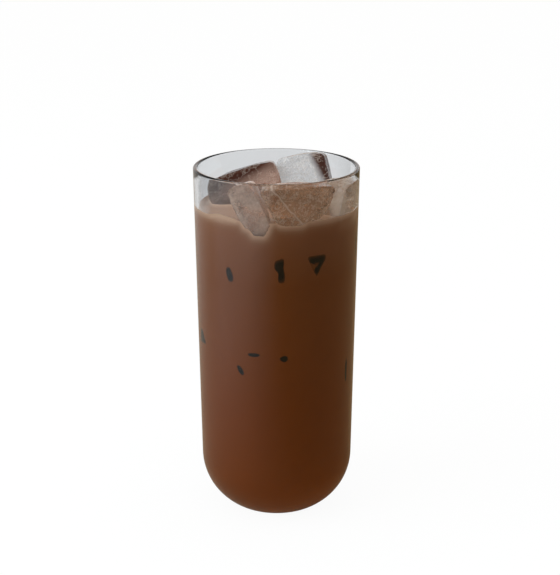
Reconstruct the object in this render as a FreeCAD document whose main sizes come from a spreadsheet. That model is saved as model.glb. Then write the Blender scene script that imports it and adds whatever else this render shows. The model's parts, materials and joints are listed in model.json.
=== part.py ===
import FreeCAD, Part
import math
import os

import Sketcher

# Chocolate latte on ice in a tall straight-sided glass, in millimetres.
# The origin is on the glass's axis, at the plane of the table, with +Z up and -Y to the front.

# The driving sizes, in mm, or in degrees for a tilt, turn or draft.
SIZES = {
    # Glass: a thin blown tumbler with a large round corner, a touch wider at its mouth.
    "glass_height": 150.0,
    "rim_radius": 34.0,
    "wall": 1.8,
    "wall_tilt": 0.61,
    "base_thickness": 4.0,
    "corner_radius": 25.0,
    "heel_radius": 12.0,
    "bowl_heel_radius": 9.0,
    "heel_turn": 35.0,
    "rim_round": 0.85,
    "foot_land": 4.0,
    "punt_depth": 1.2,
    # Drink: filled to a level under the rim, and drawn up where it wets the glass.
    "headspace": 16.8,
    "meniscus_radius": 2.5,
    "meniscus_turn": 60.0,
    # Ice: its clearance to the glass, and what melting leaves of its crown, edges and draft.
    "ice_gap": 0.3,
    "ice_crown": 1.2,
    "ice_edge": 2.2,
    "ice_draft": 6.0,
    "ice_headroom": 12.0,
}

# Each block of ice: its width at the top and bottom, the bulge of its sides, its depth and height;
# then where its middle is, as an azimuth round the glass from the front, a distance in from the
# wall and a rise above the drink's level; then its yaw, pitch and roll.
ICE_FIELDS = ("top", "bottom", "bulge", "depth", "height",
              "azimuth", "inset", "rise", "yaw", "pitch", "roll")
ICE = {
    "ice_front_left": (9.0, 7.5, 0.8, 8.5, 20.0, -26.0, 5.6, 4.8, -14.0, -22.0, 0.0),
    "ice_front": (27.0, 12.0, 2.9, 9.0, 15.0, 8.5, 7.9, 6.4, 4.0, 0.0, 0.0),
    "ice_right": (15.0, 13.5, 1.1, 9.5, 15.0, 66.0, 6.6, 4.6, 55.0, 0.0, 0.0),
    "ice_back_left": (30.0, 27.0, 1.5, 14.5, 17.5, -121.0, 17.0, 3.9, 8.0, -17.0, -16.0),
    "ice_back_right": (20.5, 22.0, 0.9, 14.5, 19.0, 140.0, 13.6, 7.8, -6.0, -9.0, -14.0),
}

# Sketch elements and points, by the numbers that Sketcher gives them.
START, END, CENTRE = 1, 2, 3
ORIGIN, UPRIGHT = -1, -2
FOOT, HEEL, CORNER, WALL = range(4)

LEVEL = "(Sizes.glass_height - Sizes.headspace)"
BOWL_RADIUS = "(Sizes.rim_radius - Sizes.wall)"
ARC_STEP = "(Sizes.corner_radius - Sizes.heel_radius)"
FOOT_RADIUS = (
    f"(Sizes.rim_radius - Sizes.corner_radius / cos(Sizes.wall_tilt)"
    f" + {ARC_STEP} * sin(Sizes.heel_turn) - tan(Sizes.wall_tilt)"
    f" * (Sizes.glass_height - Sizes.heel_radius - {ARC_STEP} * cos(Sizes.heel_turn)))"
)
PUNT_RADIUS = f"({FOOT_RADIUS} - Sizes.foot_land)"


def fill_sheet(doc):
    """Write every driving size into the spreadsheet, one aliased cell each."""
    rows = dict(SIZES)
    for piece, values in ICE.items():
        for field, value in zip(ICE_FIELDS, values):
            rows[f"{piece}_{field}"] = value
    sheet = doc.addObject("Spreadsheet::Sheet", "Sizes")
    for row, (alias, value) in enumerate(rows.items(), start=1):
        sheet.set(f"A{row}", alias)
        sheet.set(f"B{row}", str(value))
        sheet.setAlias(f"B{row}", alias)
    doc.recompute()
    return sheet


def new_sketch(body, name, role):
    """A sketch on one of the body's own origin planes."""
    sketch = body.newObject("Sketcher::SketchObject", name)
    plane = next(item for item in body.Origin.OriginFeatures if item.Role == role)
    sketch.AttachmentSupport = [(plane, "")]
    sketch.MapMode = "FlatFace"
    return sketch


def bind(sketch, name, expression, kind, *where):
    """Add a dimension to a sketch, named and tied to the sheet."""
    value = float(FreeCAD.Units.Quantity(sketch.evalExpression(expression)).Value)
    if kind == "Angle":
        value = math.radians(value)
    index = sketch.addConstraint(Sketcher.Constraint(kind, *where, value))
    sketch.renameConstraint(index, name)
    sketch.setExpression(f"Constraints.{name}", expression)


def line(start, end):
    """A straight sketch element between two (x, y) points."""
    return Part.LineSegment(FreeCAD.Vector(*start), FreeCAD.Vector(*end))


def turn_arc(centre, radius, first, last):
    """An anticlockwise sketch arc between two directions in degrees."""
    circle = Part.Circle(FreeCAD.Vector(*centre), FreeCAD.Vector(0, 0, 1), radius)
    return Part.ArcOfCircle(circle, math.radians(first), math.radians(last))


def glass_outline(sketch, sheet, floor, heel, corner, radius, top):
    """Half the outline of the glass or its bowl: flat foot, heel arc, corner arc, tilted wall.

    The last five are expressions: the height of the foot, the two arcs' radii, the wall's radius
    at the height of the rim, and the height at which the wall stops.
    """
    texts = (floor, heel, corner, radius, top)
    floor_z, heel_r, corner_r, rim_r, top_z = (float(sketch.evalExpression(text)) for text in texts)
    tilt = math.radians(sheet.wall_tilt)
    turn = math.radians(sheet.heel_turn)
    corner_z = floor_z + heel_r + (corner_r - heel_r) * math.cos(turn)
    corner_x = rim_r - (sheet.glass_height - corner_z) * math.tan(tilt) - corner_r / math.cos(tilt)
    heel_x = corner_x + (corner_r - heel_r) * math.sin(turn)
    wall_foot = (corner_x + corner_r * math.cos(tilt), corner_z - corner_r * math.sin(tilt))
    wall_top = (rim_r - (sheet.glass_height - top_z) * math.tan(tilt), top_z)
    heel_end = 270 + sheet.heel_turn
    sketch.addGeometry([
        line((0, floor_z), (heel_x, floor_z)),
        turn_arc((heel_x, floor_z + heel_r), heel_r, 270, heel_end),
        turn_arc((corner_x, corner_z), corner_r, heel_end, 360 - sheet.wall_tilt),
        line(wall_foot, wall_top),
    ], False)
    sketch.addConstraint([
        Sketcher.Constraint("PointOnObject", FOOT, START, UPRIGHT),
        Sketcher.Constraint("Horizontal", FOOT),
        Sketcher.Constraint("Tangent", FOOT, END, HEEL, START),
        Sketcher.Constraint("Tangent", HEEL, END, CORNER, START),
        Sketcher.Constraint("Tangent", CORNER, END, WALL, START),
    ])
    bind(sketch, "floor_height", floor, "DistanceY", ORIGIN, START, FOOT, START)
    bind(sketch, "heel_radius", heel, "Radius", HEEL)
    bind(sketch, "heel_turn", "Sizes.heel_turn", "Angle", HEEL)
    bind(sketch, "corner_radius", corner, "Radius", CORNER)
    bind(sketch, "wall_slope", "90 - Sizes.wall_tilt", "Angle", WALL)
    top_radius = f"{radius} - (Sizes.glass_height - ({top})) * tan(Sizes.wall_tilt)"
    bind(sketch, "top_radius", top_radius, "DistanceX", ORIGIN, START, WALL, END)
    bind(sketch, "top_height", top, "DistanceY", ORIGIN, START, WALL, END)
    return wall_top


def close_flat(sketch, wall_top):
    """Close a half outline with a level top and the axis."""
    floor_z = sketch.Geometry[FOOT].StartPoint.y
    lid = sketch.addGeometry(line(wall_top, (0, wall_top[1])), False)
    axis = sketch.addGeometry(line((0, wall_top[1]), (0, floor_z)), False)
    sketch.addConstraint([
        Sketcher.Constraint("Coincident", WALL, END, lid, START),
        Sketcher.Constraint("Horizontal", lid),
        Sketcher.Constraint("Coincident", lid, END, axis, START),
        Sketcher.Constraint("Coincident", axis, END, FOOT, START),
        Sketcher.Constraint("Vertical", axis),
    ])


def close_meniscus(sketch, sheet, wall_top):
    """Close a half outline with a level surface that curves up to the wall, and the axis."""
    floor_z = sketch.Geometry[FOOT].StartPoint.y
    turn = math.radians(sheet.meniscus_turn)
    radius = sheet.meniscus_radius
    middle = (wall_top[0] - radius * math.sin(turn), wall_top[1] + radius * math.cos(turn))
    level = middle[1] - radius
    rise = turn_arc(middle, radius, 270, 270 + sheet.meniscus_turn)
    curve = sketch.addGeometry(rise, False)
    surface = sketch.addGeometry(line((middle[0], level), (0, level)), False)
    axis = sketch.addGeometry(line((0, level), (0, floor_z)), False)
    sketch.addConstraint([
        Sketcher.Constraint("Coincident", WALL, END, curve, END),
        Sketcher.Constraint("Tangent", curve, START, surface, START),
        Sketcher.Constraint("Horizontal", surface),
        Sketcher.Constraint("Coincident", surface, END, axis, START),
        Sketcher.Constraint("Coincident", axis, END, FOOT, START),
        Sketcher.Constraint("Vertical", axis),
    ])
    bind(sketch, "meniscus_radius", "Sizes.meniscus_radius", "Radius", curve)
    bind(sketch, "meniscus_turn", "Sizes.meniscus_turn", "Angle", curve)


def revolve(body, sketch, kind, name):
    """Turn a sketch once round the body's own axis."""
    feature = body.newObject(kind, name)
    feature.Profile = sketch
    feature.ReferenceAxis = (sketch, ["V_Axis"])
    feature.Angle = 360
    return feature


def bowl_outline(sketch, sheet, top):
    """Half the outline of the inside of the glass, up to a height."""
    return glass_outline(sketch, sheet, "Sizes.base_thickness", "Sizes.bowl_heel_radius",
                         "Sizes.corner_radius - Sizes.wall", BOWL_RADIUS, top)


def make_glass(doc, sheet):
    """The glass: a turned outside, its bowl and punt cut out, and a fire-polished rim."""
    body = doc.addObject("PartDesign::Body", "glass")
    outside = new_sketch(body, "Outside", "XZ_Plane")
    top = glass_outline(outside, sheet, "0", "Sizes.heel_radius", "Sizes.corner_radius",
                        "Sizes.rim_radius", "Sizes.glass_height")
    close_flat(outside, top)
    revolve(body, outside, "PartDesign::Revolution", "Blank")

    inside = new_sketch(body, "Inside", "XZ_Plane")
    close_flat(inside, bowl_outline(inside, sheet, "Sizes.glass_height"))
    revolve(body, inside, "PartDesign::Groove", "Bowl")

    under = new_sketch(body, "Under", "XZ_Plane")
    radius = float(under.evalExpression(PUNT_RADIUS))
    depth = sheet.punt_depth
    dome_radius = (radius ** 2 + depth ** 2) / (2 * depth)
    lean = math.degrees(math.asin(radius / dome_radius))
    under.addGeometry([
        turn_arc((0, depth - dome_radius), dome_radius, 90 - lean, 90),
        line((0, depth), (0, 0)),
        line((0, 0), (radius, 0)),
    ], False)
    dome, axis, base = range(3)
    under.addConstraint([
        Sketcher.Constraint("Coincident", dome, END, axis, START),
        Sketcher.Constraint("Coincident", axis, END, base, START),
        Sketcher.Constraint("Coincident", base, END, dome, START),
        Sketcher.Constraint("Coincident", axis, END, ORIGIN, START),
        Sketcher.Constraint("Vertical", axis),
        Sketcher.Constraint("Horizontal", base),
        Sketcher.Constraint("PointOnObject", dome, CENTRE, UPRIGHT),
    ])
    bind(under, "punt_radius", PUNT_RADIUS, "DistanceX", base, START, base, END)
    bind(under, "punt_depth", "Sizes.punt_depth", "DistanceY", axis, END, axis, START)
    punt = revolve(body, under, "PartDesign::Groove", "Punt")
    doc.recompute()

    polish = body.newObject("PartDesign::Fillet", "RimPolish")
    rim = [f"Edge{number}" for number, edge in enumerate(punt.Shape.Edges, start=1)
           if edge.BoundBox.ZMin > sheet.glass_height - sheet.rim_round]
    polish.Base = (punt, rim)
    polish.setExpression("Radius", "Sizes.rim_round")
    return body


def make_filling(doc, sheet):
    """All that the drink would fill without its ice."""
    body = doc.addObject("PartDesign::Body", "Filling")
    sketch = new_sketch(body, "Surface", "XZ_Plane")
    wetted = f"{LEVEL} + Sizes.meniscus_radius * (1 - cos(Sizes.meniscus_turn))"
    close_meniscus(sketch, sheet, bowl_outline(sketch, sheet, wetted))
    revolve(body, sketch, "PartDesign::Revolution", "Turned")
    return body


def make_room(doc):
    """The space that ice may take: the bowl less its clearance, on past the rim."""
    room = doc.addObject("Part::Cone", "Room")
    inner = f"{BOWL_RADIUS} - Sizes.ice_gap"
    room.setExpression("Height", "Sizes.glass_height + Sizes.ice_headroom")
    room.setExpression("Radius1", f"{inner} - Sizes.glass_height * tan(Sizes.wall_tilt)")
    room.setExpression("Radius2", f"{inner} + Sizes.ice_headroom * tan(Sizes.wall_tilt)")
    return room


def make_block(doc, sheet, piece):
    """A half-melted block of ice: bowed sides and crown, drafted both ways, with rounded edges."""
    size = {field: getattr(sheet, f"{piece}_{field}") for field in ICE_FIELDS}
    cell = {field: f"Sizes.{piece}_{field}" for field in ICE_FIELDS}
    body = doc.addObject("PartDesign::Body", f"{piece}_block")
    face = new_sketch(body, "Face", "XZ_Plane")
    half = size["height"] / 2
    corners = [(-size["bottom"] / 2, -half), (size["bottom"] / 2, -half),
               (size["top"] / 2, half), (-size["top"] / 2, half)]
    flank = f"sqrt({cell['height']}^2 + (({cell['top']} - {cell['bottom']}) / 2)^2)"
    sides = [(cell["bottom"], "Sizes.ice_crown"), (flank, cell["bulge"]),
             (cell["top"], "Sizes.ice_crown"), (flank, cell["bulge"])]
    for number, (chord, bulge) in enumerate(sides):
        start = FreeCAD.Vector(*corners[number])
        end = FreeCAD.Vector(*corners[(number + 1) % 4])
        out = (end - start).normalize().cross(FreeCAD.Vector(0, 0, 1))
        crest = (start + end) / 2 + out * float(face.evalExpression(bulge))
        face.addGeometry(Part.Arc(start, crest, end), False)
        bow = f"(({chord})^2 / 4 + {bulge}^2) / (2 * {bulge})"
        bind(face, f"bow_{number}", bow, "Radius", number)
    for number in range(4):
        face.addConstraint(Sketcher.Constraint("Coincident", number, END, (number + 1) % 4, START))
    bottom, top = 0, 2
    for side in (bottom, top):
        face.addConstraint(Sketcher.Constraint("Symmetric", side, START, side, END, UPRIGHT))
    bind(face, "bottom", cell["bottom"], "DistanceX", bottom, START, bottom, END)
    bind(face, "top", cell["top"], "DistanceX", top, END, top, START)
    bind(face, "crown", f"{cell['height']} / 2", "DistanceY", ORIGIN, START, top, START)
    bind(face, "height", cell["height"], "DistanceY", bottom, START, top, END)

    slab = body.newObject("PartDesign::Pad", "Slab")
    slab.Profile = face
    slab.SideType = "Two sides"
    for side in ("", "2"):
        slab.setExpression(f"Length{side}", f"{cell['depth']} / 2")
        slab.setExpression(f"TaperAngle{side}", "-Sizes.ice_draft")
    doc.recompute()
    melt = body.newObject("PartDesign::Fillet", "Melt")
    melt.Base = (slab, [f"Edge{number + 1}" for number in range(len(slab.Shape.Edges))])
    melt.setExpression("Radius", "Sizes.ice_edge")

    out = f"({BOWL_RADIUS} - Sizes.headspace * tan(Sizes.wall_tilt) - {cell['inset']})"
    middle = (f"vector({out} * sin({cell['azimuth']}); -{out} * cos({cell['azimuth']}); "
              f"{LEVEL} + {cell['rise']})")
    turned = f"rotation({cell['yaw']}; {cell['pitch']}; {cell['roll']})"
    body.setExpression("Placement", f"placement({middle}; {turned})")
    return body


def combine(doc, kind, name, base, tool):
    """A boolean of two shapes."""
    result = doc.addObject(kind, name)
    result.Base = base
    result.Tool = tool
    return result


def make_ice(doc, sheet):
    """Every block, kept off the glass and cut back where it meets a block placed before it."""
    room = make_room(doc)
    pieces = []
    for piece in ICE:
        block = make_block(doc, sheet, piece)
        solid = combine(doc, "Part::Common", piece if not pieces else f"{piece}_kept", block, room)
        for neighbour in pieces:
            last = neighbour is pieces[-1]
            name = piece if last else f"{piece}_clear_of_{neighbour.Name}"
            solid = combine(doc, "Part::Cut", name, solid, neighbour)
        pieces.append(solid)
    return pieces


def make_drink(doc, sheet, ice):
    """The drink: the filling, cut round the ice that stands in it."""
    filling = make_filling(doc, sheet)
    floating = doc.addObject("Part::MultiFuse", "Floating")
    floating.Shapes = ice
    return combine(doc, "Part::Cut", "drink", filling, floating)


def check(doc, nodes):
    """Stop if any object failed, or if a node isn't one sound solid."""
    for item in doc.Objects:
        if "Invalid" in item.State or "Error" in item.State:
            raise RuntimeError(f"{item.Name} failed: {item.State}")
    for node in nodes:
        if node.Shape.isNull() or not node.Shape.isValid():
            raise RuntimeError(f"{node.Label} has no valid shape")
        if len(node.Shape.Solids) != 1:
            raise RuntimeError(f"{node.Label} is {len(node.Shape.Solids)} solids")


def main():
    doc = FreeCAD.newDocument("ChocolateLatte")
    sheet = fill_sheet(doc)
    glass = make_glass(doc, sheet)
    ice = make_ice(doc, sheet)
    drink = make_drink(doc, sheet, ice)
    doc.recompute()
    nodes = [glass, drink] + ice
    check(doc, nodes)
    os.makedirs("parts", exist_ok=True)
    for node in nodes:
        node.Shape.exportStep(os.path.join("parts", f"{node.Label}.step"))
        print(f"{node.Label}: {node.Shape.Volume / 1000:.2f} ml")


main()
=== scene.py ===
import json
import math
from collections import namedtuple

import bmesh
import bpy
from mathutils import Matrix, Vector, noise
from mathutils.bvhtree import BVHTree

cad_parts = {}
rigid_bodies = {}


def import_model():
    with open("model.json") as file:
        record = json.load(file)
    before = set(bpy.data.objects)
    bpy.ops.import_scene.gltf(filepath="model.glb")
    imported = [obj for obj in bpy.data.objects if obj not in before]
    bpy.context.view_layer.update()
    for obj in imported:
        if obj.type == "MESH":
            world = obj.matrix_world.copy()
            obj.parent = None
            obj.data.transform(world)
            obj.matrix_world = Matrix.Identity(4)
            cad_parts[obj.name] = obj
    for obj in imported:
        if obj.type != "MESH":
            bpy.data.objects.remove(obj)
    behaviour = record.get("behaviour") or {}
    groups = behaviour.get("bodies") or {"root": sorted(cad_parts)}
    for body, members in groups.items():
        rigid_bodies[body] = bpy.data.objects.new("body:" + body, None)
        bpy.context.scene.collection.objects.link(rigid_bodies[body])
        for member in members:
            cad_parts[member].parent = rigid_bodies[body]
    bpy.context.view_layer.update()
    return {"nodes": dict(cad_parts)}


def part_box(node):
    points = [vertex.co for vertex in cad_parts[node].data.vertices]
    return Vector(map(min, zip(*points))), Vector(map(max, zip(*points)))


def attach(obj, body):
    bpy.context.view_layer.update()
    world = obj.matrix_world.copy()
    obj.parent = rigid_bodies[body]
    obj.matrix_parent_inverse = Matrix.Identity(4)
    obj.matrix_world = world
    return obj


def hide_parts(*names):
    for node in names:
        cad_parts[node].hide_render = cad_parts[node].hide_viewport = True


bl_info = {
    "name": "Iced chocolate latte",
    "version": (1, 0, 0),
    "blender": (4, 5, 0),
    "location": "3D View > Sidebar > Latte",
    "description": "Dresses the packed tumbler of iced chocolate latte: glass, drink and ice",
    "category": "Object",
}

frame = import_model()
MM = 0.001
GLASS_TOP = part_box("glass")[1].z
BOWL_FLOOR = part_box("drink")[0].z
# By how many degrees a block's left and right edges settle round the glass, at foot and at head.
Edges = namedtuple("Edges", "left_foot left_head right_foot right_head")
# Where a block is darkened with painted shade, for the dark drink seen through the ice: weights of x
# and of the height over the foot height set below, and the sums in mm at which the shade starts and is
# full.
Stain = namedtuple("Stain", "across up start full")
PAINTED_SHADE_FOOT = 140 * MM
# The plane that a block has split along: weights of x and of height, and their sum in mm.
Split = namedtuple("Split", "across up total")
# A floating block: how cloudy it is, the gap in mm up to which it is pressed on the glass, the
# colours of its clear and of its cloudy ice, how strongly frost and cracks show, and the above.
Block = namedtuple("Block", "cloudy touch clear cloud frost edges stain split",
                   defaults=(None, None, None))
FLOATING = {
    "ice_front_left": Block(
        cloudy=0.75, touch=4.0, clear="#DCBEAA", cloud="#C0A694", frost=0.25,
        edges=Edges(9.5, 5.5, 9.5, 5.5), stain=Stain(0.0, -1.0, 8.0, 12.0)),
    "ice_front": Block(
        cloudy=0.5, touch=4.5, clear="#DDB696", cloud="#AA8266", frost=0.8,
        edges=Edges(17.0, 9.0, -4.0, 8.0), split=Split(0.76, 0.65, 96.5)),
    "ice_right": Block(
        cloudy=0.8, touch=3.6, clear="#E4CEB8", cloud="#D4BEA8", frost=0.2,
        edges=Edges(-4.0, 8.0, 0.0, 0.0)),
    "ice_back_left": Block(
        cloudy=0.5, touch=0.5, clear="#C0A090", cloud="#A88878", frost=0.35,
        stain=Stain(-0.5, 1.0, 6.0, 12.0)),
    "ice_back_right": Block(
        cloudy=0.4, touch=0.5, clear="#E6E6E6", cloud="#D6D6D6", frost=0.6,
        stain=Stain(0.9, 0.5, 16.5, 20.0)),
}
# The drink's edge on the glass, drawn up beside the ice and pushed down under it: azimuth from the
# front in degrees, height in mm. LINE_OPEN is its height away from the ice.
LINE_OPEN = 134.5
DRINK_LINE = ((-180, LINE_OPEN), (-58, LINE_OPEN), (-42, 136), (-31, 135.4), (-20, 131.2),
              (-14.5, 128.7), (-9, 128.6), (-3, 133.2), (16, 132.5), (24, 134.2), (36, LINE_OPEN),
              (48, 133.7), (65, 133.6), (80, LINE_OPEN), (180, LINE_OPEN))
CUTTERS = "Shapes cut out of the latte"
# A shape cut out of the latte is smaller than its ice by OVERLAP, so that no gap shows, and goes
# through the wall where the ice lies on the glass.
OVERLAP = 0.06 * MM
THROUGH_WALL = 1.0 * MM


def linear(code):
    """An sRGB hex colour as the linear RGBA that Blender works in."""
    channels = [int(code[i:i + 2], 16) / 255 for i in (1, 3, 5)]
    return tuple(c / 12.92 if c <= 0.04045 else ((c + 0.055) / 1.055) ** 2.4
                 for c in channels) + (1.0,)


def length(name, description, millimetres):
    """A size that shows in the user's own units, stated in millimetres."""
    return bpy.props.FloatProperty(name=name, description=description, unit="LENGTH",
                                   default=millimetres * MM, precision=5)


def turn(name, description, degrees):
    """An angle, stated in degrees."""
    return bpy.props.FloatProperty(name=name, description=description, subtype="ANGLE",
                                   default=math.radians(degrees))


def share(name, description, value, highest=1.0):
    """A plain number from nothing up."""
    return bpy.props.FloatProperty(name=name, description=description, default=value,
                                   min=0.0, max=highest)


def colour(name, description, code):
    """A colour, stated as sRGB hex."""
    return bpy.props.FloatVectorProperty(name=name, description=description, subtype="COLOR",
                                         size=4, min=0.0, max=1.0, default=linear(code))


def cells(millimetres):
    """The scale at which a pattern's cells have a real size."""
    return 1 / (millimetres * MM)


class TumblerSizes(bpy.types.PropertyGroup):
    """The blown tumbler."""
    height: length("Height", "Foot to rim", GLASS_TOP / MM)
    rim_radius: length("Rim radius", "Outside radius at the rim", 34.0)
    wall: length("Wall", "Thickness of the wall", 1.8)
    tilt: turn("Wall tilt", "How far the wall leans out", 0.61)
    base: length("Base", "Thickness of glass under the drink", BOWL_FLOOR / MM)
    corner: length("Corner radius", "Large arc from wall to base", 25.0)
    heel: length("Heel radius", "Small arc onto the foot", 12.0)
    bowl_heel: length("Bowl heel radius", "Small arc onto the floor of the bowl", 9.0)
    heel_turn: turn("Heel turn", "Angle that the heel arc spans", 35.0)
    rim_round: length("Rim round", "Radius that fire polishing leaves on the rim", 0.85)
    foot_land: length("Foot ring", "Width of the ring that it stands on", 4.0)
    punt: length("Punt", "Depth of the hollow under the base", 1.2)
    segments: bpy.props.IntProperty(name="Segments", description="Facets round the glass",
                                    default=256, min=32)
    tint: colour("Tint", "Cast of the glass", "#DDE0E3")


class LatteSizes(bpy.types.PropertyGroup):
    """The drink."""
    headspace: length("Headspace", "Rim to the level of the drink", 16.8)
    meniscus: length("Meniscus radius", "Curve of the drink up the glass", 2.5)
    meniscus_turn: turn("Meniscus turn", "Angle that the meniscus spans", 60.0)
    reach: length("Reach", "How far the drink reaches into the wall", 0.1)
    climb: length("Climb", "How far the drink climbs up the ice", 0.9)
    # The drink is lighter towards the top and darker towards the foot.
    milky: colour("Milky brown", "Near the top, where milk and melted ice gather", "#905735")
    coffee: colour("Coffee brown", "Halfway up", "#854414")
    cocoa: colour("Cocoa brown", "Low in the glass", "#833B00")
    # Painted light: the pale colour painted where the drink thins against glass and ice, for light
    # through it and a highlight at the ice.
    painted_edge_light_colour: colour("Thin edge", "Where the drink thins against glass and ice", "#D6AE90")


class IceSizes(bpy.types.PropertyGroup):
    """The ice."""
    grain: length("Grain", "Size of the cells that the melted skin is made of", 0.55)
    wobble: length("Wobble", "How uneven melting leaves the faces", 0.35)
    press: length("Press", "How far a pressed face reaches into the wall", 0.13)
    # Painted shade: the dark brown painted on the ice where the dark drink shows through it.
    stain: colour("Stain", "Where the drink has soaked into the ice", "#42241A")
    # Painted shade: the nearly black colour of sunk ice, for the shaded drink seen through it.
    sunk: colour("Sunk ice", "Clear ice in the dark of the drink", "#060302")


class StageSizes(bpy.types.PropertyGroup):
    """Camera, floor and light."""
    eye: bpy.props.FloatVectorProperty(name="Eye", description="Where the camera stands",
                                       subtype="XYZ", unit="LENGTH",
                                       default=(0.00146, -0.4619, 0.25445))
    dip: turn("Dip", "How far the camera looks down", 18.787)
    lens: bpy.props.FloatProperty(name="Lens", description="Focal length", unit="CAMERA",
                                  default=72.35)
    key: share("Key", "Watts of the soft panel at the left", 8.3, 100.0)
    day: colour("Daylight", "Colour of the soft panel, a little cooler than the room", "#E6F6FF")
    panel: length("Panel", "Side of the square soft panel", 900.0)
    panel_place: bpy.props.FloatVectorProperty(name="Panel place", subtype="XYZ", unit="LENGTH",
                                               description="Where the soft panel hangs",
                                               default=(-1.0, -0.35, 0.75))
    panel_aim: length("Panel aim", "Height on the axis that the panel is aimed at", 80.0)
    room: share("Room", "Level of the room's own light", 1.0)
    ceiling: share("Ceiling", "Level of the ceiling that the glass mirrors", 0.2)
    floor: length("Floor", "Half the side of the square floor", 6000.0)
    paper: colour("Paper", "Colour of the floor", "#F4F4F2")
    paper_lit: colour("Paper bounce", "Colour of the light that the floor gives back", "#8A7454")
    white: share("White", "How far the floor is plain white where it is seen", 0.93)


def put(tree, kind, values=None, links=None, **settings):
    """Add a node with its settings and socket values, and link outputs into it."""
    node = tree.nodes.new(kind)
    for name, value in settings.items():
        setattr(node, name, value)
    for key, value in (values or {}).items():
        node.inputs[key].default_value = value
    for key, source in (links or {}).items():
        tree.links.new(source, node.inputs[key])
    return node


def blank_material(name):
    """A material with an empty tree."""
    material = bpy.data.materials.new(name)
    material.use_nodes = True
    material.node_tree.nodes.clear()
    return material, material.node_tree


def soda_lime_glass(sizes):
    """Soda-lime glass, blown in a mould and fire-polished."""
    # Clear with the faintest cool cast. The blown wall is wavy over about 22 mm, so reflections
    # waver, and the glass throws hardly any shadow.
    material, tree = blank_material("soda_lime_glass_blown")
    place = put(tree, "ShaderNodeTexCoord")
    waves = put(tree, "ShaderNodeTexNoise", {"Scale": cells(22.2), "Detail": 1.0},
                {"Vector": place.outputs["Object"]})
    bump = put(tree, "ShaderNodeBump", {"Strength": 0.05, "Distance": 0.3 * MM},
               {"Height": waves.outputs["Fac"]})
    glass = put(tree, "ShaderNodeBsdfPrincipled",
                {"Base Color": sizes.tint, "IOR": 1.5, "Transmission Weight": 1.0,
                 "Roughness": 0.0}, {"Normal": bump.outputs["Normal"]})
    clear = put(tree, "ShaderNodeBsdfTransparent", {"Color": linear("#F7F8F9")})
    path = put(tree, "ShaderNodeLightPath")
    mix = put(tree, "ShaderNodeMixShader", None,
              {0: path.outputs["Is Shadow Ray"], 1: glass.outputs[0], 2: clear.outputs[0]})
    put(tree, "ShaderNodeOutputMaterial", None, {"Surface": mix.outputs[0]})
    return material


def latte_material(name, sizes, gloss):
    """Milk, coffee and cocoa stirred together."""
    # Opaque, with slow swirls about 36 mm across. It darkens from milky brown at the top to cocoa
    # brown at the foot, is painted paler near its edge as painted light, a glow for light through the
    # thin drink at the glass and a painted highlight where it meets the ice, and is wet and glossy
    # only on its open surface.
    material, tree = blank_material(name)
    place = put(tree, "ShaderNodeTexCoord")
    swirl = put(tree, "ShaderNodeTexNoise", {"Scale": cells(35.7), "Detail": 2.0, "Distortion": 0.6},
                {"Vector": place.outputs["Object"]})
    parts = put(tree, "ShaderNodeSeparateXYZ", None, {"Vector": place.outputs["Object"]})
    drift = put(tree, "ShaderNodeMath", {1: 12 * MM, 2: -6 * MM}, {0: swirl.outputs["Fac"]},
                operation="MULTIPLY_ADD")
    level = put(tree, "ShaderNodeMath", None, {0: parts.outputs["Z"], 1: drift.outputs[0]},
                operation="ADD")
    low = put(tree, "ShaderNodeMapRange", {"From Min": 55 * MM, "From Max": 105 * MM},
              {"Value": level.outputs[0]})
    high = put(tree, "ShaderNodeMapRange", {"From Min": 108 * MM, "From Max": 130 * MM},
               {"Value": level.outputs[0]})
    lower = put(tree, "ShaderNodeMix", {6: sizes.cocoa, 7: sizes.coffee},
                {0: low.outputs["Result"]}, data_type="RGBA")
    body = put(tree, "ShaderNodeMix", {7: sizes.milky},
               {0: high.outputs["Result"], 6: lower.outputs[2]}, data_type="RGBA")
    # Painted light: a pale glow and highlight painted along the drink's thin edge at glass and ice.
    edge_light = put(tree, "ShaderNodeAttribute", attribute_name="painted_edge_light")
    edge = put(tree, "ShaderNodeMix", {7: sizes.painted_edge_light_colour},
               {0: edge_light.outputs["Fac"], 6: body.outputs[2]}, data_type="RGBA")
    skin = put(tree, "ShaderNodeBsdfPrincipled",
               {"Roughness": 0.12 if gloss else 0.5, "IOR": 1.34,
                "Specular IOR Level": 0.5 if gloss else 0.0},
               {"Base Color": edge.outputs[2]})
    put(tree, "ShaderNodeOutputMaterial", None, {"Surface": skin.outputs[0]})
    return material


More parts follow.
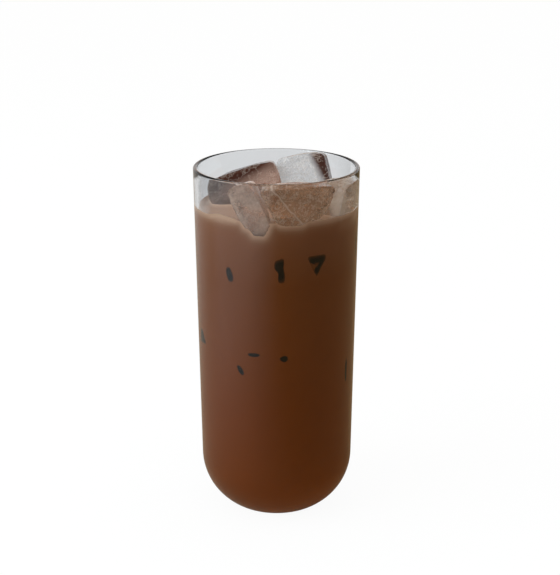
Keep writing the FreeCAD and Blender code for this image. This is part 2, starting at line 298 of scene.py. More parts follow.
def ice_material(name, block, stain):
    """Freezer ice, half melted and wetted by the drink."""
    # Clear, with clouds of trapped air about 8 mm across, pale cracks about 10 mm apart, and painted
    # shade that darkens it to brown where the dark drink shows through. Pits of 2.5 mm in the skin
    # make it sparkle. Frost is finer than its specks of 1.25 mm, which are as coarse as they need to
    # be to show.
    material, tree = blank_material(name)
    place = put(tree, "ShaderNodeTexCoord")
    cloud = put(tree, "ShaderNodeTexNoise", {"Scale": cells(8.33), "Detail": 4.0, "Roughness": 0.6},
                {"Vector": place.outputs["Object"]})
    clear = put(tree, "ShaderNodeMapRange", {"From Min": 0.35, "From Max": 0.65,
                                             "To Min": 1.0, "To Max": 1.0 - block.cloudy},
                {"Value": cloud.outputs["Fac"]})
    pits = put(tree, "ShaderNodeTexNoise", {"Scale": cells(2.5), "Detail": 2.0},
               {"Vector": place.outputs["Object"]})
    bump = put(tree, "ShaderNodeBump", {"Strength": 0.25, "Distance": 0.3 * MM},
               {"Height": pits.outputs["Fac"]})
    tone = put(tree, "ShaderNodeMix", {6: linear(block.clear), 7: linear(block.cloud)},
               {0: cloud.outputs["Fac"]}, data_type="RGBA")
    # The split plane is bent by up to 3 mm, and the cracks are churned through by up to 40 mm.
    bent, churned = (put(tree, "ShaderNodeMix", {0: amount},
                         {4: place.outputs["Object"], 5: cloud.outputs["Color"]},
                         data_type="VECTOR") for amount in (3 * MM, 40 * MM))
    cracks = put(tree, "ShaderNodeTexVoronoi", {"Scale": cells(10.53)}, {"Vector": churned.outputs[1]},
                 feature="DISTANCE_TO_EDGE")
    crack = put(tree, "ShaderNodeMapRange", {"From Min": 0.0, "From Max": 0.06,
                                             "To Min": 0.6 * block.frost, "To Max": 0.0},
                {"Value": cracks.outputs["Distance"]})
    specks = put(tree, "ShaderNodeTexVoronoi", {"Scale": cells(1.25)},
                 {"Vector": place.outputs["Object"]})
    patches = put(tree, "ShaderNodeMapRange", {"From Min": 0.42, "From Max": 0.62},
                  {"Value": cloud.outputs["Fac"]})
    speck = put(tree, "ShaderNodeMapRange", {"From Min": 0.15, "From Max": 0.4,
                                             "To Min": 0.6 * block.frost, "To Max": 0.0},
                {"Value": specks.outputs["Distance"]})
    patchy = put(tree, "ShaderNodeMath", None, {0: speck.outputs[0], 1: patches.outputs[0]},
                 operation="MULTIPLY")
    pale = put(tree, "ShaderNodeMath", None, {0: crack.outputs[0], 1: patchy.outputs[0]},
               operation="MAXIMUM")
    if block.split:
        across, up, total = block.split
        parts = put(tree, "ShaderNodeSeparateXYZ", None, {"Vector": bent.outputs[1]})
        sideways = put(tree, "ShaderNodeMath", {1: across, 2: -total * MM},
                       {0: parts.outputs["X"]}, operation="MULTIPLY_ADD")
        off = put(tree, "ShaderNodeMath", {1: up}, {0: parts.outputs["Z"],
                                                    2: sideways.outputs[0]},
                  operation="MULTIPLY_ADD")
        near = put(tree, "ShaderNodeMath", None, {0: off.outputs[0]}, operation="ABSOLUTE")
        split = put(tree, "ShaderNodeMapRange", {"From Min": 0.0, "From Max": 0.6 * MM,
                                                 "To Min": 0.6, "To Max": 0.0},
                    {"Value": near.outputs[0]})
        pale = put(tree, "ShaderNodeMath", None, {0: pale.outputs[0], 1: split.outputs[0]},
                   operation="MAXIMUM")
    # Painted shade: the ice is darkened towards dark brown, and made less clear, where the dark drink
    # shows through it.
    shaded = put(tree, "ShaderNodeAttribute", attribute_name="stain")
    brown = put(tree, "ShaderNodeMix", {7: stain},
                {0: shaded.outputs["Fac"], 6: tone.outputs[2]}, data_type="RGBA")
    frosted = put(tree, "ShaderNodeMix", {7: linear("#E6DACC")},
                  {0: pale.outputs[0], 6: brown.outputs[2]}, data_type="RGBA")
    dull = put(tree, "ShaderNodeMath", {1: 0.85}, {0: shaded.outputs["Fac"]},
               operation="MULTIPLY")
    milky = put(tree, "ShaderNodeMath", None, {0: pale.outputs[0], 1: dull.outputs[0]},
                operation="MAXIMUM")
    solid = put(tree, "ShaderNodeMath", {0: 1.0}, {1: milky.outputs[0]}, operation="SUBTRACT")
    through = put(tree, "ShaderNodeMath", None, {0: clear.outputs[0], 1: solid.outputs[0]},
                  operation="MULTIPLY")
    ice = put(tree, "ShaderNodeBsdfPrincipled",
              {"Roughness": 0.06, "IOR": 1.31},
              {"Base Color": frosted.outputs[2], "Transmission Weight": through.outputs[0],
               "Normal": bump.outputs["Normal"]})
    see = put(tree, "ShaderNodeBsdfTransparent", {"Color": linear("#E7E3DF")})
    path = put(tree, "ShaderNodeLightPath")
    mix = put(tree, "ShaderNodeMixShader", None,
              {0: path.outputs["Is Shadow Ray"], 1: ice.outputs[0], 2: see.outputs[0]})
    put(tree, "ShaderNodeOutputMaterial", None, {"Surface": mix.outputs[0]})
    return material


def sunk_material(sizes, film):
    """Clear ice against the glass, painted nearly black as painted shade for the dark drink behind it.
    """
    # Painted shade, nearly black, softened at its rim where a film of the drink creeps in.
    material, tree = blank_material("painted_shade_sunk_ice")
    crept = put(tree, "ShaderNodeAttribute", attribute_name="film")
    tone = put(tree, "ShaderNodeMix", {6: sizes.sunk, 7: film}, {0: crept.outputs["Fac"]},
               data_type="RGBA")
    ice = put(tree, "ShaderNodeBsdfPrincipled",
              {"Roughness": 0.4, "IOR": 1.31, "Specular IOR Level": 0.0},
              {"Base Color": tone.outputs[2]})
    put(tree, "ShaderNodeOutputMaterial", None, {"Surface": ice.outputs[0]})
    return material


def arc(centre, radius, first, last, steps):
    """Points (r, z) along an arc between two directions in radians."""
    return [(centre[0] + radius * math.cos(first + (last - first) * i / steps),
             centre[1] + radius * math.sin(first + (last - first) * i / steps))
            for i in range(steps + 1)]


def outline(glass, floor, heel, corner, rim_radius, top, pitch):
    """Half the outline of the glass or its bowl: flat foot, heel arc, corner arc, tilted wall."""
    corner_z = floor + heel + (corner - heel) * math.cos(glass.heel_turn)
    corner_r = (rim_radius - (glass.height - corner_z) * math.tan(glass.tilt)
                - corner / math.cos(glass.tilt))
    heel_r = corner_r + (corner - heel) * math.sin(glass.heel_turn)
    heel_end = glass.heel_turn - math.pi / 2
    points = arc((heel_r, floor + heel), heel, -math.pi / 2, heel_end, 10)
    points += arc((corner_r, corner_z), corner, heel_end, -glass.tilt, 22)[1:]
    low_r, low_z = points[-1]
    top_r = rim_radius - (glass.height - top) * math.tan(glass.tilt)
    steps = max(2, round((top - low_z) / pitch))
    points += [(low_r + (top_r - low_r) * i / steps, low_z + (top - low_z) * i / steps)
               for i in range(1, steps + 1)]
    return points


def bowl_radius(glass, z):
    """Inside radius of the straight wall at a height."""
    return glass.rim_radius - glass.wall - (glass.height - z) * math.tan(glass.tilt)


def turning_tree():
    """Geometry Nodes that turn a half outline into a closed solid."""
    tree = bpy.data.node_groups.new("Turn on the axis", "GeometryNodeTree")
    sockets = {}
    for name, kind in (("Outline", "NodeSocketGeometry"), ("Segments", "NodeSocketInt"),
                       ("Finish", "NodeSocketMaterial")):
        sockets[name] = tree.interface.new_socket(name=name, in_out="INPUT", socket_type=kind)
    tree.interface.new_socket(name="Turned", in_out="OUTPUT", socket_type="NodeSocketGeometry")
    source = put(tree, "NodeGroupInput")
    count = put(tree, "GeometryNodeAttributeDomainSize", None,
                {"Geometry": source.outputs["Outline"]}, component="MESH")
    columns = put(tree, "ShaderNodeMath", {1: 1.0}, {0: source.outputs["Segments"]},
                  operation="ADD")
    sheet = put(tree, "GeometryNodeMeshGrid", None,
                {"Vertices X": columns.outputs[0], "Vertices Y": count.outputs["Point Count"]})
    index = put(tree, "GeometryNodeInputIndex")
    row = put(tree, "ShaderNodeMath", None,
              {0: index.outputs[0], 1: count.outputs["Point Count"]}, operation="MODULO")
    ratio = put(tree, "ShaderNodeMath", None,
                {0: index.outputs[0], 1: count.outputs["Point Count"]}, operation="DIVIDE")
    column = put(tree, "ShaderNodeMath", None, {0: ratio.outputs[0]}, operation="FLOOR")
    place = put(tree, "GeometryNodeInputPosition")
    point = put(tree, "GeometryNodeSampleIndex", None,
                {"Geometry": source.outputs["Outline"], "Value": place.outputs[0],
                 "Index": row.outputs[0]}, data_type="FLOAT_VECTOR", domain="POINT")
    part = put(tree, "ShaderNodeMath", None,
               {0: column.outputs[0], 1: source.outputs["Segments"]}, operation="DIVIDE")
    angle = put(tree, "ShaderNodeMath", {1: 2 * math.pi}, {0: part.outputs[0]},
                operation="MULTIPLY")
    turned = put(tree, "ShaderNodeVectorRotate", None,
                 {"Vector": point.outputs[0], "Angle": angle.outputs[0]},
                 rotation_type="Z_AXIS")
    shape = put(tree, "GeometryNodeSetPosition", None,
                {"Geometry": sheet.outputs["Mesh"], "Position": turned.outputs[0]})
    merged = put(tree, "GeometryNodeMergeByDistance", {"Distance": 1e-6},
                 {"Geometry": shape.outputs[0]})
    smooth = put(tree, "GeometryNodeSetShadeSmooth", None, {"Geometry": merged.outputs[0]})
    real = put(tree, "GeometryNodeRealizeInstances", None, {"Geometry": smooth.outputs[0]})
    finish = put(tree, "GeometryNodeSetMaterial", None,
                 {"Geometry": real.outputs[0], "Material": source.outputs["Finish"]})
    put(tree, "NodeGroupOutput", None, {0: finish.outputs[0]})
    return tree, sockets


def add_object(name, mesh):
    """An object for a mesh, in the scene."""
    piece = bpy.data.objects.new(name, mesh)
    bpy.context.scene.collection.objects.link(piece)
    return piece


def settle(piece):
    """Turn what the modifiers make into the piece's own plain mesh."""
    bpy.context.view_layer.update()
    baked = bpy.data.meshes.new_from_object(
        piece.evaluated_get(bpy.context.evaluated_depsgraph_get()))
    if not baked.polygons:
        raise RuntimeError(f"{piece.name} came out empty")
    piece.modifiers.clear()
    piece.data = baked
    return piece


def turned_piece(name, points, segments, material):
    """A closed solid turned from a half outline of (r, z) points."""
    mesh = bpy.data.meshes.new(name)
    mesh.from_pydata([(r, 0.0, z) for r, z in points],
                     [(i, i + 1) for i in range(len(points) - 1)], [])
    piece = add_object(name, mesh)
    tree, sockets = turning_tree()
    lathe = piece.modifiers.new("Turn", "NODES")
    lathe.node_group = tree
    lathe[sockets["Segments"].identifier] = segments
    lathe[sockets["Finish"].identifier] = material
    settle(piece)
    work = bmesh.new()
    work.from_mesh(piece.data)
    bmesh.ops.recalc_face_normals(work, faces=work.faces)
    for face in work.faces:
        face.material_index = 0
    work.to_mesh(piece.data)
    work.free()
    piece.data.materials.clear()
    piece.data.materials.append(material)
    return piece


def finish_piece(piece, slot, *nodes):
    """Hand a finished piece to the frame: what carries it, and what it stands for. The slot is not
    used.
    """
    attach(piece, "root")
    if nodes:
        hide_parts(*nodes)


class LATTE_OT_tumbler(bpy.types.Operator):
    """Turn the tumbler on its axis from its sizes"""
    bl_idname = "latte.tumbler"
    bl_label = "Turn the tumbler"

    def execute(self, context):
        glass = context.scene.tumbler
        outside = outline(glass, 0.0, glass.heel, glass.corner, glass.rim_radius,
                          glass.height - glass.rim_round, 4 * MM)
        inside = outline(glass, glass.base, glass.bowl_heel, glass.corner - glass.wall,
                         glass.rim_radius - glass.wall, glass.height - glass.rim_round, 4 * MM)
        punt_r = outside[0][0] - glass.foot_land
        dome = (punt_r ** 2 + glass.punt ** 2) / (2 * glass.punt)
        lean = math.asin(punt_r / dome)
        punt = arc((0.0, glass.punt - dome), dome, math.pi / 2, math.pi / 2 - lean, 10)
        rim_z = glass.height - glass.rim_round
        rim = arc((outside[-1][0] - glass.rim_round, rim_z), glass.rim_round, 0.0,
                  math.pi / 2, 8)[1:]
        rim += arc((inside[-1][0] + glass.rim_round, rim_z), glass.rim_round, math.pi / 2,
                   math.pi, 8)[:-1]
        floor = [(inside[0][0] * i / 4, glass.base) for i in range(4)]
        points = punt + outside + rim + inside[::-1] + floor[::-1]
        piece = turned_piece("tumbler", points, glass.segments, soda_lime_glass(glass))
        finish_piece(piece, "glass", "glass")
        return {"FINISHED"}


def azimuth_of(point):
    """Degrees round from the front, rising to the right."""
    return math.degrees(math.atan2(point.x, -point.y))


def line_height(azimuth):
    """Height of the drink's edge on the glass at an azimuth."""
    for (start, low), (end, high) in zip(DRINK_LINE, DRINK_LINE[1:]):
        if azimuth <= end:
            break
    along = (azimuth - start) / (end - start)
    return (low + (high - low) * along * along * (3 - 2 * along)) * MM


def settled(point, low, high, edges):
    """Turn a point round the glass by what its place between the block's edges calls for."""
    across = (azimuth_of(point) - low[0]) / (high[0] - low[0])
    up = (point.z - low[1]) / (high[1] - low[1])
    left = edges.left_foot + (edges.left_head - edges.left_foot) * up
    right = edges.right_foot + (edges.right_head - edges.right_foot) * up
    angle = math.radians(left + (right - left) * across)
    return Vector((point.x * math.cos(angle) - point.y * math.sin(angle),
                   point.x * math.sin(angle) + point.y * math.cos(angle), point.z))


# A pressed face gives way up to twice the gap at which it lies flat. It starts within 0.5 mm above
# the drink's edge, and ends 2 mm over the rim.
GIVES_WAY = 2.0
PRESS_START = 0.5 * MM
PRESS_END = 2 * MM


def press_on_wall(point, glass, touch, skin):
    """Move a point above the drink's edge that nearly touches the glass out onto it."""
    radius = math.hypot(point.x, point.y)
    gap = bowl_radius(glass, point.z) - radius
    far = GIVES_WAY * touch
    above = (point.z - line_height(azimuth_of(point))) / PRESS_START
    if gap >= far or point.z > glass.height + PRESS_END or above <= 0.0:
        return point
    along = max(0.0, (gap - touch) / (far - touch))
    moved = -skin + along * (far + skin)
    moved = gap + (moved - gap) * min(1.0, above)
    grow = (radius + gap - moved) / radius
    return Vector((point.x * grow, point.y * grow, point.z))


def melting_block(node, ice):
    """A copy of a block of the CAD model, its corners melted round."""
    work = bmesh.new()
    work.from_mesh(frame["nodes"][node].data)
    bmesh.ops.remove_doubles(work, verts=work.verts, dist=1e-6)
    mesh = bpy.data.meshes.new(f"{node}_melted")
    work.to_mesh(mesh)
    work.free()
    piece = add_object(f"{node}_melted", mesh)
    skin = piece.modifiers.new("Skin", "REMESH")
    skin.mode = "VOXEL"
    skin.voxel_size = ice.grain
    calm = piece.modifiers.new("Calm", "SMOOTH")
    calm.iterations = 4
    return settle(piece)


# Lumps that melting leaves, a metre: broad ones of about 8 mm, and fine ones of about 2.4 mm that
# stand a quarter as high.
BROAD, FINE = 130, 420
FINE_SHARE = 0.25


def melt_faces(piece, block, glass, ice, shift):
    """Leave the faces uneven, settle the block round the glass and press it on the wall."""
    vertices = piece.data.vertices
    normals = [v.normal.copy() for v in vertices]
    spread = [azimuth_of(v.co) for v in vertices]
    rise = [v.co.z for v in vertices]
    low, high = (min(spread), min(rise)), (max(spread), max(rise))
    for vertex, normal in zip(vertices, normals):
        broad = noise.noise(vertex.co * BROAD + shift)
        fine = noise.noise(vertex.co * FINE + shift)
        co = vertex.co + normal * ice.wobble * (broad + FINE_SHARE * fine)
        if block.edges:
            co = settled(co, low, high, block.edges)
        vertex.co = press_on_wall(co, glass, block.touch * MM, ice.press)
    return normals


def paint_shade(piece, stain):
    """Mark how much painted shade darkens the ice at each point."""
    shaded = piece.data.attributes.new("stain", "FLOAT", "POINT")
    for vertex, value in zip(piece.data.vertices, shaded.data):
        along = (vertex.co.x * stain.across + (vertex.co.z - PAINTED_SHADE_FOOT) * stain.up) / MM
        value.value = min(1.0, max(0.0, (along - stain.start) / (stain.full - stain.start)))


def cutter_for(piece, name, normals, glass):
    """The shape to cut out of the latte for a block."""
    cut = piece.copy()
    cut.data = piece.data.copy()
    cut.name = name
    for vertex, normal in zip(cut.data.vertices, normals):
        co = vertex.co - normal * OVERLAP
        radius = math.hypot(co.x, co.y)
        if bowl_radius(glass, co.z) - radius < 0.1 * MM:
            grow = (bowl_radius(glass, co.z) + THROUGH_WALL) / radius
            co = Vector((co.x * grow, co.y * grow, co.z))
        vertex.co = co
    return cut


class LATTE_OT_floating_ice(bpy.types.Operator):
    """Melt the blocks of ice that stand out of the drink"""
    bl_idname = "latte.floating_ice"
    bl_label = "Melt the floating ice"

    def execute(self, context):
        scene = context.scene
        glass, ice = scene.tumbler, scene.latte_ice
        cutters = bpy.data.collections.new(CUTTERS)
        scene.collection.children.link(cutters)
        for number, (node, block) in enumerate(FLOATING.items()):
            piece = melting_block(node, ice)
            piece.data.materials.clear()
            piece.data.materials.append(ice_material(f"freezer_{node}", block, ice.stain))
            shift = Vector((7.1 * number, 3.3 * number, 1.7 * number))
            normals = melt_faces(piece, block, glass, ice, shift)
            if block.stain:
                paint_shade(piece, block.stain)
            piece.data.shade_smooth()
            cutters.objects.link(cutter_for(piece, f"cut_{node}", normals, glass))
            finish_piece(piece, "ice", node)
        return {"FINISHED"}


# Each block sunk against the glass: where its contact is (azimuth from the front in degrees and
# height in mm), its depth in mm, and the contact's outline in mm across and up.
SUNK = {
    "ice_sunk_left": (-34.7, 111.9, 14.0, [(-1.4, 2.6), (0.1, 3.0), (1.2, 1.2), (1.8, -0.9),
                                           (1.5, -2.6), (0.2, -3.1), (-1.0, -1.8), (-1.7, 0.4)]),
    "ice_sunk_middle": (2.5, 115.2, 15.0, [(-1.8, 3.9), (0.6, 4.9), (1.6, 4.2), (1.5, 1.2),
                                           (1.9, -1.8), (1.8, -4.3), (0.6, -5.2), (-0.7, -4.3),
                                           (-0.7, -1.2), (-2.1, 1.0)]),
    "ice_sunk_right": (29.2, 116.4, 13.0, [(-3.6, 3.5), (0.2, 3.9), (3.8, 3.6), (4.0, 1.6),
                                           (2.4, -0.8), (0.6, -3.9), (-0.4, -4.0), (-2.0, -1.0)]),
    "ice_sunk_far_left": (-69.4, 79.5, 12.0, [(-2.8, 2.4), (-0.2, 3.2), (2.0, 0.2), (3.0, -2.0),
                                              (0.0, -2.6), (-2.8, -2.4)]),
    "ice_sunk_low_left": (-27.2, 71.6, 12.0, [(-1.5, 1.7), (-0.2, 2.0), (1.3, 0.4), (1.7, -1.4),
                                              (0.9, -2.1), (-0.6, -1.0)]),
    "ice_sunk_low_middle": (-16.4, 79.1, 11.0, [(-2.3, 0.5), (0.0, 0.9), (2.2, 0.7), (2.4, -0.2),
                                                (0.3, -0.8), (-2.2, -0.6)]),
    "ice_sunk_low_right": (5.3, 77.9, 11.0, [(-1.5, 0.5), (0.0, 1.3), (1.4, 1.0), (1.6, -0.5),
                                             (0.4, -1.5), (-1.2, -0.8)]),
    "ice_sunk_far_right": (77.0, 119.0, 11.0, [(-0.6, 5.5), (0.7, 5.0), (1.0, 0.0), (0.5, -5.5),
                                               (-0.6, -5.0), (-1.0, 0.3)]),
    "ice_sunk_side": (63.1, 65.9, 12.0, [(-0.5, 4.6), (0.5, 4.8), (0.9, 0.2), (0.6, -4.6),
                                         (-0.6, -4.7), (-0.9, 0.1)]),
}
# A sunk block with a film of the drink over part of its contact: how far right, down and up that
# part reaches, in mm.
WINDOWS = {"ice_sunk_right": (1.2, -2.4, 1.5)}
WINDOW_FILM = 0.75
# Rings of a contact: their share of its outline, and how much film has crept in there.
CONTACT_RINGS = ((0.33, 0.0), (0.67, 0.0), (0.88, 0.2), (1.0, 0.6))
CONTACT_POINTS = 36
# How a sunk block widens behind its contact: depth as a share of its own, and spread in mm.
SUNK_RINGS = ((0.0, 0.05), (0.03, 0.5), (0.08, 1.5), (0.18, 3.2), (0.35, 4.6), (0.7, 5.0),
              (0.9, 3.8), (1.0, 2.0))


def closed_curve(points, count):
    """Evenly many points round a smooth closed curve through the given ones."""
    result = []
    total = len(points)
    for step in range(count):
        at = step * total / count
        index, t = int(at), at - int(at)
        p = [Vector(points[(index + k) % total]) for k in (-1, 0, 1, 2)]
        result.append(0.5 * (2 * p[1] + (p[2] - p[0]) * t
                             + (2 * p[0] - 5 * p[1] + 4 * p[2] - p[3]) * t * t
                             + (3 * p[1] - p[0] - 3 * p[2] + p[3]) * t ** 3))
    return result


def sunk_mesh(name, glass, fields, skin, slack):
    """A block that touches the wall along an outline and widens into the drink behind it."""
    azimuth, height, depth, contact = fields
    azimuth = math.radians(azimuth)
    curve = closed_curve(contact, CONTACT_POINTS)
    inward = Vector((-math.sin(azimuth), math.cos(azimuth), 0.0))
    work = bmesh.new()
    film = work.verts.layers.float.new("film")

    def place(u, v, behind, crept=0.0):
        # u and v are mm across and up; behind is how far in from the wall, or less than 0 into it.
        z = (height + v) * MM
        radius = bowl_radius(glass, z)
        if behind <= 0.0:
            radius -= behind
        angle = azimuth + u * MM / radius
        base = Vector((radius * math.sin(angle), -radius * math.cos(angle), z))
        vertex = work.verts.new(base + inward * max(0.0, behind))
        vertex[film] = crept
        return vertex

    def crept_in(p, rim):
        right, low, high = WINDOWS.get(name, (0.0, 0.0, 0.0))
        if name not in WINDOWS or p.x > right or p.y < low or p.y > high:
            return rim
        return max(rim, WINDOW_FILM)

    rings = [[place(p.x * s, p.y * s, -skin, crept_in(p, rim)) for p in curve]
             for s, rim in CONTACT_RINGS]
    for share_in, spread in SUNK_RINGS:
        ring = []
        for p in curve:
            out = p.normalized() * (spread - slack / MM)
            lump = 1 + 0.12 * noise.noise(Vector((p.x + out.x, p.y + out.y, 9 * share_in)))
            ring.append(place((p.x + out.x) * lump, (p.y + out.y) * lump,
                              depth * MM * share_in + 0.02 * MM))
        rings.append(ring)
    front = place(0.0, 0.0, -skin, WINDOW_FILM if name in WINDOWS else 0.0)
    back = place(0.0, 0.0, depth * 1.03 * MM)
    for i in range(len(curve)):
        j = (i + 1) % len(curve)
        work.faces.new((front, rings[0][i], rings[0][j]))
        for inner, outer in zip(rings, rings[1:]):
            work.faces.new((inner[i], outer[i], outer[j], inner[j]))
        work.faces.new((back, rings[-1][j], rings[-1][i]))
    bmesh.ops.recalc_face_normals(work, faces=work.faces)
    mesh = bpy.data.meshes.new(name)
    work.to_mesh(mesh)
    work.free()
    mesh.shade_smooth()
    return mesh


class LATTE_OT_sunk_ice(bpy.types.Operator):
    """Sink blocks of ice that show only where they touch the glass"""
    bl_idname = "latte.sunk_ice"
    bl_label = "Sink the rest of the ice"

    def execute(self, context):
        scene = context.scene
        glass, ice = scene.tumbler, scene.latte_ice
        cutters = bpy.data.collections[CUTTERS]
        material = sunk_material(ice, scene.latte_drink.coffee)
        for name, fields in SUNK.items():
            piece = add_object(name, sunk_mesh(name, glass, fields, ice.press, 0.0))
            piece.data.materials.append(material)
            cutters.objects.link(bpy.data.objects.new(
                f"cut_{name}", sunk_mesh(f"cut_{name}", glass, fields, THROUGH_WALL, OVERLAP)))
            finish_piece(piece, "ice")
        return {"FINISHED"}


# The drink is drawn up within EDGE_BAND of the glass and from EDGE_DEPTH under its level, and climbs
# ice within about CLIMB_FADE. Ripples of about 9 mm are left on its open surface.
EDGE_BAND, EDGE_DEPTH = 3 * MM, 8 * MM
CLIMB_FADE = 1.0 * MM
RIPPLE, RIPPLES_A_METRE = 0.12 * MM, 110
# The drink is painted paler near its edge as painted light: a glow for light shining through the thin
# drink at the glass, and a painted highlight where it climbs the ice. The next three sizes say how far
# under its level this reaches at most, how near its edge or the ice it is full, and over how much more
# it fades.
LIT_EDGE_DEPTH, LIT_EDGE_FULL, LIT_EDGE_FADE = 20 * MM, 0.6 * MM, 1.1 * MM


def drink_outline(glass, latte, level, wetted):
    """Half the outline of the drink, and its radius where it meets the glass."""
    side = outline(glass, glass.base - latte.reach, glass.bowl_heel + latte.reach,
                   glass.corner - glass.wall + latte.reach,
                   glass.rim_radius - glass.wall + latte.reach, wetted, 1.2 * MM)
    top_r = side[-1][0] - latte.reach
    middle = (top_r - latte.meniscus * math.sin(latte.meniscus_turn), level + latte.meniscus)
    rise = arc(middle, latte.meniscus, latte.meniscus_turn - math.pi / 2, -math.pi / 2, 8)
    across = [(middle[0] * (1 - i / 52), level) for i in range(1, 53)]
    floor = [(side[0][0] * i / 6, side[0][1]) for i in range(6)]
    return floor + side + rise + across, top_r


def draw_up(piece, latte, level, wetted, top_r, to_ice):
    """Draw the drink up to its edge on the glass and up the ice, and ripple its open surface."""
    for vertex in piece.data.vertices:
        co = vertex.co
        radius = math.hypot(co.x, co.y)
        film = max(0.0, line_height(azimuth_of(co)) - wetted) if radius > 0.0 else 0.0
        near = min(1.0, max(0.0, 1 + (radius - top_r) / EDGE_BAND))
        deep = min(1.0, max(0.0, 1 + (co.z - level) / EDGE_DEPTH))
        vertex.co.z += film * near * near * deep
        if co.z > level - 0.01 * MM and radius < top_r - 0.05 * MM:
            climb = latte.climb * math.exp(-to_ice(co) / CLIMB_FADE)
            ripple = RIPPLE * noise.noise(co * RIPPLES_A_METRE)
            edge = min(1.0, (top_r - radius) / latte.meniscus)
            vertex.co.z += climb * edge + ripple * edge


def cut_out(piece, cutters):
    """Cut every block's shape out of the drink, and clear the shapes away."""
    cut = piece.modifiers.new("Cut round the ice", "BOOLEAN")
    cut.operation = "DIFFERENCE"
    cut.operand_type = "COLLECTION"
    cut.collection = cutters
    cut.solver = "EXACT"
    settle(piece)
    for tool in list(cutters.objects):
        bpy.data.objects.remove(tool)
    bpy.data.collections.remove(cutters)


class LATTE_OT_drink(bpy.types.Operator):
    """Pour the latte: up to its level, drawn up at the glass and the ice, and cut round the ice"""
    bl_idname = "latte.drink"
    bl_label = "Pour the latte"

    def execute(self, context):
        scene = context.scene
        glass, latte = scene.tumbler, scene.latte_drink
        level = glass.height - latte.headspace
        wetted = level + latte.meniscus * (1 - math.cos(latte.meniscus_turn))
        points, top_r = drink_outline(glass, latte, level, wetted)
        piece = turned_piece("latte", points, glass.segments,
                             latte_material("latte_against_glass", latte, False))
        piece.data.materials.append(latte_material("latte_free_surface", latte, True))
        blocks = [bpy.data.objects[f"{node}_melted"] for node in FLOATING]
        trees = [BVHTree.FromObject(o, context.evaluated_depsgraph_get()) for o in blocks]

        def to_ice(point):
            return min(tree.find_nearest(point)[3] for tree in trees)

        draw_up(piece, latte, level, wetted, top_r, to_ice)
        cut_out(piece, bpy.data.collections[CUTTERS])
        for polygon in piece.data.polygons:
            centre = polygon.center
            gap = bowl_radius(glass, centre.z) - math.hypot(centre.x, centre.y)
            in_wall = gap < -0.5 * latte.reach or centre.z < glass.corner
            polygon.material_index = 0 if in_wall else 1
        # Painted light: mark how much paler the drink is painted near its edge on the glass and near
        # the ice.
        edge = piece.data.attributes.new("painted_edge_light", "FLOAT", "POINT")
        for vertex, value in zip(piece.data.vertices, edge.data):
            if vertex.co.z > level - LIT_EDGE_DEPTH:
                inside = min(wetted - vertex.co.z, to_ice(vertex.co))
                value.value = math.exp(-max(0.0, inside - LIT_EDGE_FULL) / LIT_EDGE_FADE)
        piece.data.shade_smooth()
        piece.data.set_sharp_from_angle(angle=math.radians(50))
        finish_piece(piece, "drink", "drink")
        return {"FINISHED"}


# Where glass shows the floor white, in metres: behind the drink, and in a bright stretch at the left
# that stands for a window, which comes up towards the left and fades towards the back.
BEHIND = {"From Min": -0.12, "From Max": -0.06, "To Min": 0.0, "To Max": 1.0}
WINDOW_SIDE = {"From Min": 0.06, "From Max": -0.3, "To Min": 0.0, "To Max": 0.95}
WINDOW_DEPTH = {"From Min": -0.1, "From Max": 0.1, "To Min": 1.0, "To Max": 0.5}
# The ceiling dims from this height of view to that one, as the sine of the angle.
CEILING_START, CEILING_FULL = 0.1, 0.5


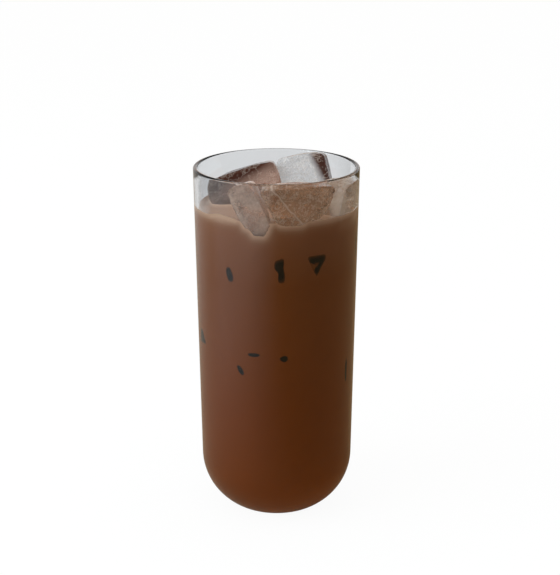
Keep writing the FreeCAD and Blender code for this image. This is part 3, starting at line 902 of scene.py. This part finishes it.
def paper_material(sizes):
    """Matt white paper, uncoated and swept out flat."""
    # Plain and pale, with a faint tooth. Its fibres are finer than the 1.1 mm that they are drawn
    # at. It gives back less light than it shows, so that the drink keeps a dark, warm foot.
    material, tree = blank_material("matt_paper_sweep")
    place = put(tree, "ShaderNodeTexCoord")
    fibre = put(tree, "ShaderNodeTexNoise", {"Scale": cells(1.11), "Detail": 2.0},
                {"Vector": place.outputs["Object"]})
    bump = put(tree, "ShaderNodeBump", {"Strength": 0.1, "Distance": 0.05 * MM},
               {"Height": fibre.outputs["Fac"]})
    white = put(tree, "ShaderNodeEmission", {"Color": linear("#FFFFFF"), "Strength": 1.0})
    path = put(tree, "ShaderNodeLightPath")
    shade = put(tree, "ShaderNodeMix", {6: sizes.paper_lit, 7: sizes.paper},
                {0: path.outputs["Is Camera Ray"]}, data_type="RGBA")
    paper = put(tree, "ShaderNodeBsdfPrincipled",
                {"Roughness": 0.9, "Specular IOR Level": 0.1},
                {"Base Color": shade.outputs[2], "Normal": bump.outputs["Normal"]})
    side = put(tree, "ShaderNodeSeparateXYZ", None, {"Vector": place.outputs["Object"]})
    bright = put(tree, "ShaderNodeMapRange", WINDOW_SIDE, {"Value": side.outputs["X"]},
                 interpolation_type="SMOOTHSTEP")
    fade = put(tree, "ShaderNodeMapRange", WINDOW_DEPTH, {"Value": side.outputs["Y"]},
               interpolation_type="SMOOTHSTEP")
    window = put(tree, "ShaderNodeMath", None,
                 {0: bright.outputs["Result"], 1: fade.outputs["Result"]}, operation="MULTIPLY")
    shine = put(tree, "ShaderNodeMath", None,
                {0: path.outputs["Is Glossy Ray"], 1: window.outputs[0]}, operation="MULTIPLY")
    behind = put(tree, "ShaderNodeMapRange", BEHIND, {"Value": side.outputs["Y"]},
                 interpolation_type="SMOOTHSTEP")
    open_floor = put(tree, "ShaderNodeMath", None,
                     {0: behind.outputs["Result"], 1: window.outputs[0]}, operation="MAXIMUM")
    through = put(tree, "ShaderNodeMath", None,
                  {0: path.outputs["Is Transmission Ray"], 1: open_floor.outputs[0]},
                  operation="MULTIPLY")
    seen = put(tree, "ShaderNodeMath", None,
               {0: path.outputs["Is Camera Ray"], 1: through.outputs[0]}, operation="MAXIMUM")
    shown = put(tree, "ShaderNodeMath", None, {0: seen.outputs[0], 1: shine.outputs[0]},
                operation="MAXIMUM")
    most = put(tree, "ShaderNodeMath", {1: sizes.white}, {0: shown.outputs[0]},
               operation="MULTIPLY")
    mix = put(tree, "ShaderNodeMixShader", None,
              {0: most.outputs[0], 1: paper.outputs[0], 2: white.outputs[0]})
    put(tree, "ShaderNodeOutputMaterial", None, {"Surface": mix.outputs[0]})
    return material


def light_room(scene, sizes):
    """Fill the room with even white light, under a ceiling that the glass mirrors dimly."""
    world = bpy.data.worlds.new("Studio")
    scene.world = world
    world.use_nodes = True
    tree = world.node_tree
    tree.nodes.clear()
    path = put(tree, "ShaderNodeLightPath")
    seen = put(tree, "ShaderNodeMath", None,
               {0: path.outputs["Is Camera Ray"], 1: path.outputs["Is Glossy Ray"]},
               operation="MAXIMUM")
    shown = put(tree, "ShaderNodeMath", None,
                {0: seen.outputs[0], 1: path.outputs["Is Transmission Ray"]},
                operation="MAXIMUM")
    room = put(tree, "ShaderNodeBackground",
               {"Color": linear("#FFFFFF"), "Strength": sizes.room})
    place = put(tree, "ShaderNodeTexCoord")
    parts = put(tree, "ShaderNodeSeparateXYZ", None, {"Vector": place.outputs["Generated"]})
    ceiling = put(tree, "ShaderNodeMapRange",
                  {"From Min": CEILING_START, "From Max": CEILING_FULL,
                   "To Min": 1.0, "To Max": sizes.ceiling},
                  {"Value": parts.outputs["Z"]}, interpolation_type="SMOOTHSTEP")
    white = put(tree, "ShaderNodeBackground", {"Color": linear("#FFFFFF")},
                {"Strength": ceiling.outputs["Result"]})
    mix = put(tree, "ShaderNodeMixShader", None,
              {0: shown.outputs[0], 1: room.outputs[0], 2: white.outputs[0]})
    put(tree, "ShaderNodeOutputWorld", None, {"Surface": mix.outputs[0]})


class LATTE_OT_stage(bpy.types.Operator):
    """Set the pale floor, the soft light and the camera"""
    bl_idname = "latte.stage"
    bl_label = "Set the stage"

    def execute(self, context):
        scene = context.scene
        sizes = scene.latte_stage
        reach = sizes.floor
        mesh = bpy.data.meshes.new("floor")
        mesh.from_pydata([(-reach, -reach, 0), (reach, -reach, 0), (reach, reach, 0),
                          (-reach, reach, 0)], [], [(0, 1, 2, 3)])
        mesh.materials.append(paper_material(sizes))
        add_object("floor", mesh)
        light_room(scene, sizes)

        lamp = bpy.data.lights.new("Soft panel", "AREA")
        lamp.shape = "SQUARE"
        lamp.size = sizes.panel
        lamp.energy = sizes.key
        lamp.color = sizes.day[:3]
        panel = bpy.data.objects.new("Soft panel", lamp)
        panel.location = sizes.panel_place
        aim = Vector((0.0, 0.0, sizes.panel_aim)) - panel.location
        panel.rotation_euler = aim.to_track_quat("-Z", "Y").to_euler()
        # It lights the drink, but glass does not carry its glare to the eye.
        panel.visible_transmission = False
        scene.collection.objects.link(panel)

        camera = bpy.data.cameras.new("Camera")
        camera.lens = sizes.lens
        camera.clip_start = 0.01
        eye = bpy.data.objects.new("Camera", camera)
        eye.location = sizes.eye
        eye.rotation_euler = (math.pi / 2 - sizes.dip, 0.0, 0.0)
        scene.collection.objects.link(eye)
        scene.camera = eye
        scene.view_settings.view_transform = "Standard"
        return {"FINISHED"}


class LATTE_PT_panel(bpy.types.Panel):
    """Every piece of the drink, in the order that they are made"""
    bl_label = "Iced chocolate latte"
    bl_idname = "LATTE_PT_panel"
    bl_space_type = "VIEW_3D"
    bl_region_type = "UI"
    bl_category = "Latte"

    def draw(self, context):
        for step in STEPS:
            self.layout.operator(step.bl_idname)


STEPS = (LATTE_OT_tumbler, LATTE_OT_floating_ice, LATTE_OT_sunk_ice, LATTE_OT_drink,
         LATTE_OT_stage)
GROUPS = {"tumbler": TumblerSizes, "latte_drink": LatteSizes, "latte_ice": IceSizes,
          "latte_stage": StageSizes}


def register():
    for group in GROUPS.values():
        bpy.utils.register_class(group)
    for step in STEPS:
        bpy.utils.register_class(step)
    bpy.utils.register_class(LATTE_PT_panel)
    for name, group in GROUPS.items():
        setattr(bpy.types.Scene, name, bpy.props.PointerProperty(type=group))


def unregister():
    for name in GROUPS:
        delattr(bpy.types.Scene, name)
    bpy.utils.unregister_class(LATTE_PT_panel)
    for cls in (*STEPS, *GROUPS.values()):
        bpy.utils.unregister_class(cls)


def main():
    register()
    bpy.ops.latte.tumbler()
    bpy.ops.latte.floating_ice()
    bpy.ops.latte.sunk_ice()
    bpy.ops.latte.drink()
    bpy.ops.latte.stage()


if __name__ == "__main__":
    main()
